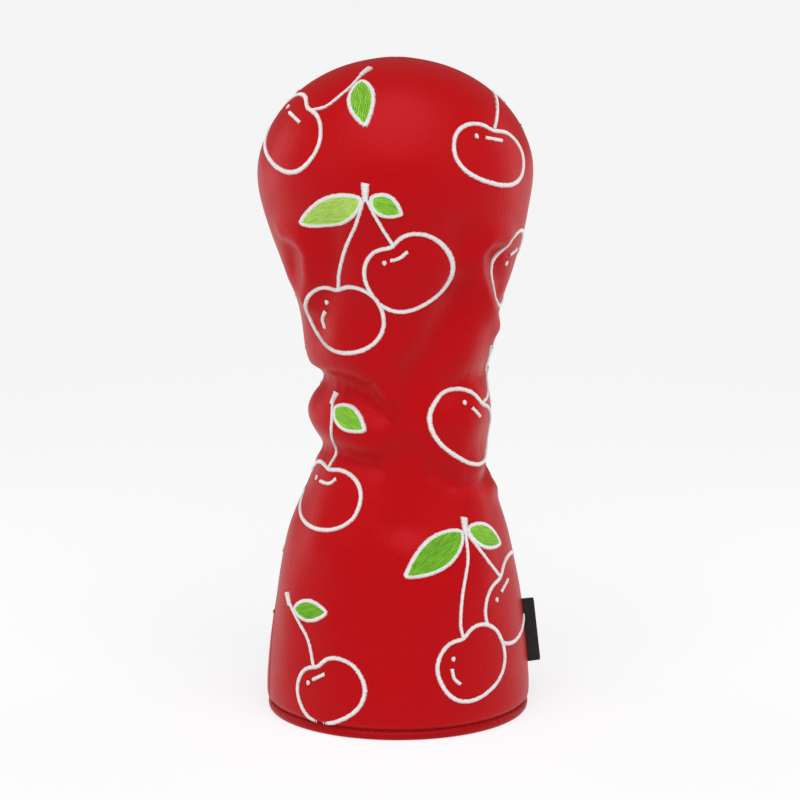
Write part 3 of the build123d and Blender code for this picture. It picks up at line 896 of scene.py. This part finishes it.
def drape(plane, spot, side):
    # a spot of the drawing on the leather, or nothing past the seam or the hem
    point, right, up, out = plane
    start = point + right * spot[0] + up * spot[1] + out * thread["castFrom"]
    landed = landOn(start, -out)
    if landed is None:
        return None
    at, normal = landed
    seam = 0.0 if at[0] > 0 else -np.hypot(at[0], at[1]) * radians(seamForward(at[2]))
    if (at[1] > seam - seamMargin) if side == 0 else (at[1] < seam + seamMargin):
        return None
    return None if at[2] < hemTop else (at, normal)


def satin(batch, plane, side, line, width, endWidth=None, closed=False, hide=None, lift=None):
    # threads laid side by side across a line
    lift = thread["lift"] if lift is None else lift
    endWidth = endWidth or width
    count = len(line)
    for i, spot in enumerate(line):
        if hide is not None and insideLoop(hide, spot):
            continue
        before = line[(i - 1) % count if closed else max(i - 1, 0)]
        after = line[(i + 1) % count if closed else min(i + 1, count - 1)]
        way = (after - before) / max(np.linalg.norm(after - before), 1e-6)
        lean = radians(thread["slant"])
        cross = np.array([-way[1] * cos(lean) + way[0] * sin(lean), way[0] * cos(lean) + way[1] * sin(lean)])
        half = (width + (endWidth - width) * i / max(count - 1, 1)) / 2
        ends = half + rng.normal(0, thread["jitter"], 2) * min(1.0, half)
        spots = [spot + cross * s for s in (-ends[0], -ends[0] * 0.55, 0.0, ends[1] * 0.55, ends[1])]
        landed = [drape(plane, s, side) for s in spots]
        if any(l is None for l in landed):
            continue
        low, shoulder = thread["dive"], lift * thread["shoulder"]
        heights = [low, shoulder, lift, shoulder, low]
        points = [at + n * h for (at, n), h in zip(landed, heights)]
        flow = plane[1] * way[0] + plane[2] * way[1]
        across, lifts = [], []
        for at, n in landed:
            a = flow - n * (flow @ n)
            across.append(a / max(np.linalg.norm(a), 1e-6))
            lifts.append(n)
        batch.add(strandRings(points, across, lifts, thread["wide"], thread["thick"]), float(rng.uniform(0, 1)))


def dotStitch(batch, plane, side, centre, radius):
    # a round dot of level threads
    centre = np.array(centre, float)
    for offset in np.arange(-radius, radius + 0.01, thread["pitch"]):
        half = max((radius ** 2 - offset * offset), 0.05) ** 0.5
        satinAcross(batch, plane, side, centre + np.array([0, offset]), half)


def satinAcross(batch, plane, side, spot, half):
    # one level thread
    spots = [spot + np.array([s, 0]) for s in (-half, -half * 0.5, 0.0, half * 0.5, half)]
    landed = [drape(plane, s, side) for s in spots]
    if any(l is None for l in landed):
        return
    heights = [-0.1, thread["dotLift"] * 0.75, thread["dotLift"], thread["dotLift"] * 0.75, -0.1]
    points = [at + n * h for (at, n), h in zip(landed, heights)]
    across = [unit(plane[2] - n * (plane[2] @ n)) for _, n in landed]
    rings = strandRings(points, across, [n for _, n in landed], thread["wide"], thread["thick"])
    batch.add(rings, float(rng.uniform(0, 1)))


def leafFill(batch, plane, side, base, tip, half):
    # rows of staggered stitches along the leaf
    base, tip = np.array(base, float), np.array(tip, float)
    length = np.linalg.norm(tip - base)
    way = (tip - base) / length
    cross = np.array([-way[1], way[0]])
    left, right = leafSides(base, tip, half, widths["leafEdge"] * 0.5)
    loop = np.vstack([left, right[::-1]])
    offset, row = -half, 0
    while offset < half:
        start = -thread["fillStitch"] * ((row * 0.37) % 1.0)
        while start < length:
            end = start + thread["fillStitch"] - 0.15
            inside = [s for s in np.linspace(start, end, 7) if insideLoop(loop, base + way * s + cross * offset)]
            if len(inside) >= 2:
                a, b = inside[0], inside[-1]
                spots = [base + way * (a + (b - a) * t) + cross * offset for t in (0, 0.3, 0.7, 1)]
                landed = [drape(plane, s, side) for s in spots]
                if all(l is not None for l in landed):
                    heights = [thread[height] for height in ("fillLow", "fillHigh", "fillHigh", "fillLow")]
                    points = [at + n * h for (at, n), h in zip(landed, heights)]
                    flow = plane[1] * cross[0] + plane[2] * cross[1]
                    across = [unit(flow - n * (flow @ n)) for _, n in landed]
                    rings = strandRings(points, across, [n for _, n in landed], thread["fillWide"], thread["thick"])
                    batch.add(rings, float(rng.uniform(0, 1)))
            start += thread["fillStitch"]
        offset += thread["fillPitch"]
        row += 1


stitchCount, pointsAStitch = 0, 15
for side, panel in enumerate(("front", "back")):
    for name, motif in motifs.items():
        plane = planeAt(motif["turn"], motif["level"], side)
        white = threadBatch()
        for i, fruit in enumerate(motif["cherries"]):
            hide = cherryLoop(motif["cherries"][0], 0.4) if i else None   # the second cherry lies behind
            loop = cherryLoop(fruit)
            closedLine = evenLine(np.vstack([loop, loop[:1]]), thread["pitch"])[:-1]
            satin(white, plane, side, closedLine, widths["outline"], closed=True, hide=hide)
            for shine in fruit["shine"]:
                if len(shine) == 1:
                    dotStitch(white, plane, side, shine[0], widths["shineDot"])
                else:
                    line = smoothLine(shine, thread["pitch"])
                    satin(white, plane, side, line, widths["shine"], lift=thread["shineLift"])
        for base, tip, half, tone in motif.get("leaves", ()):
            for edge in leafSides(base, tip, half, widths["leafEdge"] * 0.5):
                satin(white, plane, side, evenLine(edge, thread["pitch"]), widths["leafEdge"])
        for stem in motif.get("stems", ()):
            line = smoothLine(stem, thread["pitch"])
            satin(white, plane, side, line, widths["stem"], lift=thread["stemLift"])
        for knot in motif.get("knots", ()):
            line = smoothLine(knot, thread["pitch"])
            satin(white, plane, side, line, widths["knotLow"], widths["knotHigh"], lift=thread["knotLift"])
        lines = white.piece(f"{panel}_{name}_satin")
        sewOn(lines, whiteThread)
        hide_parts(f"{panel}_{name}_lines")
        stitchCount += len(white.tones) // pointsAStitch
        if motif.get("leaves"):
            made = []
            for n, (base, tip, half, tone) in enumerate(motif["leaves"]):
                green = threadBatch()
                leafFill(green, plane, side, base, tip, half)
                if not green.verts:
                    continue
                leaf = green.piece(f"{panel}_{name}_leaf{n + 1}")
                sewOn(leaf, leafGreens[tone])
                made.append(leaf)
            if made:
                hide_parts(f"{panel}_{name}_leaves")
print("embroidery laid:", stitchCount, "stitches")


# mouth binding and its stitching

stitchesRound, columnsAStitch = 98, 6
binding = dict(outerTop=4.5, innerTop=12.0, thick=0.7, bulge=0.9, puff=0.07, rimLevel=4.0,
               columns=stitchesRound * columnsAStitch)


def bindingSection(puff):
    # (level, inset) round the folded strip, outside first, then back along its inside
    bulge, thick = binding["bulge"] + puff, binding["thick"]
    outerTop, innerTop = binding["outerTop"], binding["innerTop"]
    outside = [(outerTop, 0.85), (outerTop - 0.2, 0.3), (3.9, -0.1 - puff), (3.5, -bulge * 0.55),
               (2.7, -bulge * 0.95), (1.8, -bulge), (0.8, -bulge * 0.72), (0.2, -bulge * 0.2), (0.0, 0.7),
               (0.0, 3.6), (0.0, 6.4), (0.35, 7.3), (1.2, 7.75), (3.0, 7.95), (6.0, 7.95), (9.0, 7.9),
               (innerTop, 7.7)]
    inside = [(innerTop - 0.1, 7.0), (9.0, 7.15), (3.0, 7.2), (1.3, 6.8), (thick, 5.9), (thick, 3.6), (thick, 1.4),
              (1.0, 0.7), (1.9, -bulge + thick), (2.7, -bulge * 0.9 + thick), (3.5, 0.4), (4.0, 0.8),
              (outerTop - 0.2, 1.05)]
    return outside + inside


def runLength(points):
    # in metres
    return float(np.linalg.norm(np.diff(points, axis=0), axis=1).sum() * mm)


def ringLength(level, inset):
    # once round the cover at a level, in metres
    ring = [wallPoint(level, halfTurn(k), inset, "inner") for k in range(0, 361, 2)]
    return runLength(np.array(ring))


def rimFrame(turn):
    # the rim's place at a turn, brought down to the floor, and the level direction out of it
    base = wallPoint(binding["rimLevel"], turn, 0.0, "inner")
    out = wallPoint(binding["rimLevel"], turn, -1.0, "inner") - base
    return base * [1, 1, 0], unit(out * [1, 1, 0])


def makeBinding():
    count, verts = binding["columns"], []
    for k in range(count):
        flat, out = rimFrame(halfTurn(360 * k / count))
        phase = (k / columnsAStitch) % 1.0
        puff = binding["puff"] * (0.5 - 0.5 * cos(2 * pi * phase))
        for level, inset in bindingSection(puff):
            verts.append(flat - out * inset + np.array([0, 0, level]))
    return meshFrom("mouth_binding_strip", verts, beltFaces(count, len(bindingSection(0)), closed=True))


strip = makeBinding()
facesOut(strip)
sewOn(strip, bindingLeather, 60)
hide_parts("mouth_binding")
ringLength(3.9, -0.4)


def roundStitch(batch, start, end, out, radius, sink=0.25, sides=6, steps=4):
    # one stitch of round thread that dives into the cloth at both ends
    length, way = np.linalg.norm(end - start), unit(end - start)
    side = unit(np.cross(out, way))
    rings = []
    for i in range(steps + 1):
        t = i / steps
        dive = -sink * (2 * t - 1) ** 4
        size = radius * (thread["endSlim"] if i in (0, steps) else 1.0)
        centre = start + way * length * t + out * dive
        angles = [2 * pi * k / sides for k in range(sides)]
        rings.append([centre + (side * cos(a) + out * sin(a)) * size for a in angles])
    batch.add(rings, float(rng.uniform(0, 1)))


threadRadius, topstitchLevel = 0.28, 4.35
topstitch = threadBatch()
for k in range(stitchesRound):
    ends = []
    for share in (0.12, 0.88):
        flat, out = rimFrame(halfTurn(360 * (k + share) / stitchesRound))
        ends.append(flat + [0, 0, topstitchLevel] - out * 0.05)
    roundStitch(topstitch, ends[0], ends[1], out, threadRadius)
stitching = topstitch.piece("mouth_topstitch")
sewOn(stitching, redThread)
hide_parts("mouth_topstitching")
print("binding sewn")


# inside the wall: elastic, seam tape and their stitching

# levels, depths into the wall, and the depth and number of the ribs
elastic = dict(low=135.0, high=175.0, start=3.85, end=4.75, rib=0.12, ribs=10, steps=21, columns=180)


def makeElastic():
    # a closed strip that follows the wall between two levels, all the way round
    low, high, start, end = elastic["low"], elastic["high"], elastic["start"], elastic["end"]
    shares, count = np.linspace(0, 1, elastic["steps"]), elastic["columns"]
    shape = [(f, start + elastic["rib"] * (0.5 + 0.5 * cos(f * 2 * pi * elastic["ribs"]))) for f in shares]
    shape += [(f, end) for f in shares[::-1]]
    verts = [wallPoint(low + (high - low) * f, halfTurn(360 * k / count), inset, "inner")
             for k in range(count) for f, inset in shape]
    return meshFrom("neck_elastic", verts, beltFaces(count, len(shape), closed=True))


band = makeElastic()
facesOut(band)
sewOn(band, elasticCloth, 50)
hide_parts("neck_elastic_band")
ringLength(155, elastic["start"])

tape = dict(width=12.0, start=1.65, end=2.6, low=16.0, sagRadius=100)   # sagRadius: how its edges fall away


def seamLine(low, stepEvery=3):
    # up the left seam, over the crown and down the right seam, as points and outward normals
    front = halves[0]
    rows = range(int(rowOf(low)), rowCount, stepEvery)
    points = np.array([front["inner"][r, 0] for r in rows] + [front["inner"][r, -1] for r in reversed(rows)])
    keep = [0] + [i for i in range(1, len(points)) if np.linalg.norm(points[i] - points[i - 1]) > 0.6]
    points = points[keep]
    way = np.gradient(points, axis=0)
    normal = np.stack([-way[:, 2], np.zeros(len(way)), way[:, 0]], axis=1)
    return list(zip(points, normal / np.linalg.norm(normal, axis=1, keepdims=True)))


def makeTape():
    path, verts = seamLine(tape["low"]), []
    across = [-1.0, -0.5, 0.0, 0.5, 1.0]
    section = [(a, tape["start"]) for a in across] + [(a, tape["end"]) for a in reversed(across)]
    for i, (point, normal) in enumerate(path):
        before, after = path[max(i - 1, 0)][0], path[min(i + 1, len(path) - 1)][0]
        way = after - before
        way /= max(np.linalg.norm(way), 1e-6)
        side = np.cross(normal, way)
        side /= max(np.linalg.norm(side), 1e-6)
        for a, inset in section:
            spot = point + side * a * tape["width"] / 2 - normal * inset
            sag = (a * tape["width"] / 2) ** 2 / tape["sagRadius"]
            verts.append(spot - normal * sag)
    faces = beltFaces(len(path), len(section), closed=False) + endFaces(len(path), len(section))
    return meshFrom("side_seam_tape_strip", verts, faces)


strip = makeTape()
facesOut(strip)
sewOn(strip, tapeCloth, 50)
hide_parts("side_seam_tape")

lockStitch = threadBatch()
lockLow, lockDepth = 18.0, 2.1
path = seamLine(lockLow)
for (p, n), (q, _) in zip(path, path[1:]):
    if np.linalg.norm(q - p) > 1.0:
        ends = [p + (q - p) * share - n * lockDepth for share in (0.15, 0.85)]
        roundStitch(lockStitch, *ends, n, threadRadius, 0.1)
seam = lockStitch.piece("side_seam_lockstitch")
sewOn(seam, redThread)
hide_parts("side_seam_stitching")

zig = dict(fromEdge=4, rise=1.5, step=5, ringRadius=34, depth=7.62, radius=0.3, sink=0.35)
zigzag = threadBatch()
for level in (elastic["low"] + zig["fromEdge"], elastic["high"] - zig["fromEdge"]):
    count = 2 * round(2 * pi * zig["ringRadius"] / zig["step"] / 2)
    spots = []
    for k in range(count):
        turn, up = halfTurn(360 * k / count), zig["rise"] if k % 2 else -zig["rise"]
        spots.append([wallPoint(level + up, turn, zig["depth"] + deeper, "inner") for deeper in (0, 1)])
    for (p, pn), (q, qn) in zip(spots, spots[1:] + spots[:1]):
        roundStitch(zigzag, p + (q - p) * 0.06, p + (q - p) * 0.94, unit(pn - p), zig["radius"], zig["sink"])
zigzagLine = zigzag.piece("elastic_zigzag")
sewOn(zigzagLine, redThread)
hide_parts("elastic_zigzag_stitching")
print("inner bands made")


# the folded label

# mm: height, how far it reaches out and in from its hinge, thickness of one half, sideways wave,
# and where its corners start to round off
label = dict(rows=36, columns=14, tall=33.4, out=4.3, root=3.6, thick=0.42, wave=0.35, corner=15.5)
lean, along = np.array([0.9932, 0, 0.1163]), np.array([-0.1163, 0, 0.9932])   # out of the seam, and along it
joint = frame["joints"][0]


def makeLabel():
    # one closed shell: the folded label's front, its outer fold and its back
    rows, out, root, tall = label["rows"], label["out"], label["root"], label["tall"]
    hinge = np.array(joint["pos_m"]) / mm
    shares = np.linspace(0, 1, label["columns"])
    section = [(-root + (root + out) * f, 1) for f in shares]
    for angle in (60, 30, 0, -30, -60):
        section.append((out + label["thick"] * cos(radians(angle)), sin(radians(angle))))
    section += [(-root + (root + out) * f, -1) for f in shares[::-1]]
    verts = []
    for r in range(rows + 1):
        v = (r / rows - 0.5) * tall
        for u, side in section:
            bow = label["wave"] * sin(v / tall * pi * 1.3 + 0.4) * smoothStep((u + 0.5) / 5.0)
            rounding = 0.25 * smoothStep((abs(v) - label["corner"]) / 1.2) * (u > 1)
            puff = 0.06 * sin(pi * np.clip((u + root) / (root + out), 0, 1))
            spot = hinge + lean * (u - rounding) + along * v
            verts.append(spot - np.array([0, side * (label["thick"] + puff) + bow, 0]))
    faces = beltFaces(rows + 1, len(section), closed=False) + endFaces(rows + 1, len(section))
    return meshFrom("side_label", verts, faces)


def labelMaterial():
    # black damask, plain woven, with no lettering
    material, tree, shader, place = newMaterial("blackLabel", 0.6, Sheen_Weight=0.03, Specular_IOR_Level=0.25)
    weave = addGroup(tree, weaveGroup, place, Count=9000.0)
    colour = mixColour(tree, weave.outputs["Shade"], (0.008, 0.007, 0.007), (0.022, 0.018, 0.018))
    tree.links.new(colour, shader.inputs["Base Color"])
    addBump(tree, shader, weave.outputs["Height"], 0.00008, 0.6)
    return material


tag = makeLabel()
facesOut(tag)
smoothShade(tag, 40)
wear(tag, labelMaterial())
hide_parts("woven_label_root", "woven_label_flap")
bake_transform(tag)
print("label made")


# floor, light and camera

studio = dict(world=0.20, top=2.15, topHigh=60, topWide=60, glow=0.67, floorSize=60, floorDrop=0.0002)
# degrees round either way, then how far out, how high, the height it aims at, its width and height, and its power
softboxes = dict(front_box=(48, 0.52, 0.46, 0.27, 0.28, 0.34, 0.40),
                 side_box=(106, 0.62, 0.34, 0.22, 0.26, 0.55, 0.85))


def paperMaterial():
    material, tree, shader, place = newMaterial("floorPaper", 0.9, Emission_Strength=studio["glow"],
                                                Specular_IOR_Level=0.1)
    shader.inputs["Emission Color"].default_value = (1.0, 1.0, 1.01, 1.0)
    tone = noise(tree, place, 3.0, 2.0)
    colour = mixColour(tree, math(tree, "MULTIPLY", tone, 0.01), (0.30, 0.30, 0.302), (0.26, 0.26, 0.26))
    tree.links.new(colour, shader.inputs["Base Color"])
    return material


bpy.ops.object.select_all(action="DESELECT")
bpy.ops.mesh.primitive_plane_add(size=studio["floorSize"], location=(0, 0, -studio["floorDrop"]))
floor = bpy.context.object
floor.name = "studio_floor"
floor.data.materials.append(paperMaterial())

world = bpy.data.worlds.new("studio")
bpy.context.scene.world = world
world.use_nodes = True
world.node_tree.nodes["Background"].inputs["Color"].default_value = (1.0, 1.0, 1.005, 1.0)
world.node_tree.nodes["Background"].inputs["Strength"].default_value = studio["world"]


def softSun(name, turn, high, strength, wide):
    # a broad far-off light: it falls evenly over the whole floor
    data = bpy.data.lights.new(name, "SUN")
    data.energy, data.angle = strength, radians(wide)
    lamp = bpy.data.objects.new(name, data)
    turn, high = radians(turn), radians(high)
    way = Vector((sin(turn) * cos(high), -cos(turn) * cos(high), sin(high)))
    lamp.rotation_euler = way.to_track_quat("Z", "Y").to_euler()
    bpy.context.scene.collection.objects.link(lamp)


def softbox(name, turn, far, height, aim, width, tall, power):
    data = bpy.data.lights.new(name, "AREA")
    data.shape, data.size, data.size_y, data.energy = "RECTANGLE", width, tall, power
    lamp = bpy.data.objects.new(name, data)
    lamp.location = (sin(radians(turn)) * far, -cos(radians(turn)) * far, height)
    lamp.rotation_euler = (lamp.location - Vector((0, 0, aim))).to_track_quat("Z", "Y").to_euler()
    bpy.context.scene.collection.objects.link(lamp)


for name, sign in (("left", -1), ("right", 1)):
    for box, (turn, *rest) in softboxes.items():
        softbox(f"{box}_{name}", sign * turn, *rest)
softSun("top_sun", 0, studio["topHigh"], studio["top"], studio["topWide"])

sensor = 36
view = dict(far=1.2, high=0.405, right=0.001, down=11.58, focal=2438, frame=800)
lens = bpy.data.cameras.new("front_view")
lens.sensor_width = sensor
lens.lens = view["focal"] / view["frame"] * sensor
camera = bpy.data.objects.new("front_view", lens)
camera.location = (view["right"], -view["far"], view["high"])
camera.rotation_euler = (radians(90 - view["down"]), 0, 0)
bpy.context.scene.collection.objects.link(camera)
bpy.context.scene.camera = camera
bpy.context.scene.view_settings.view_transform = "Standard"
print("studio set")
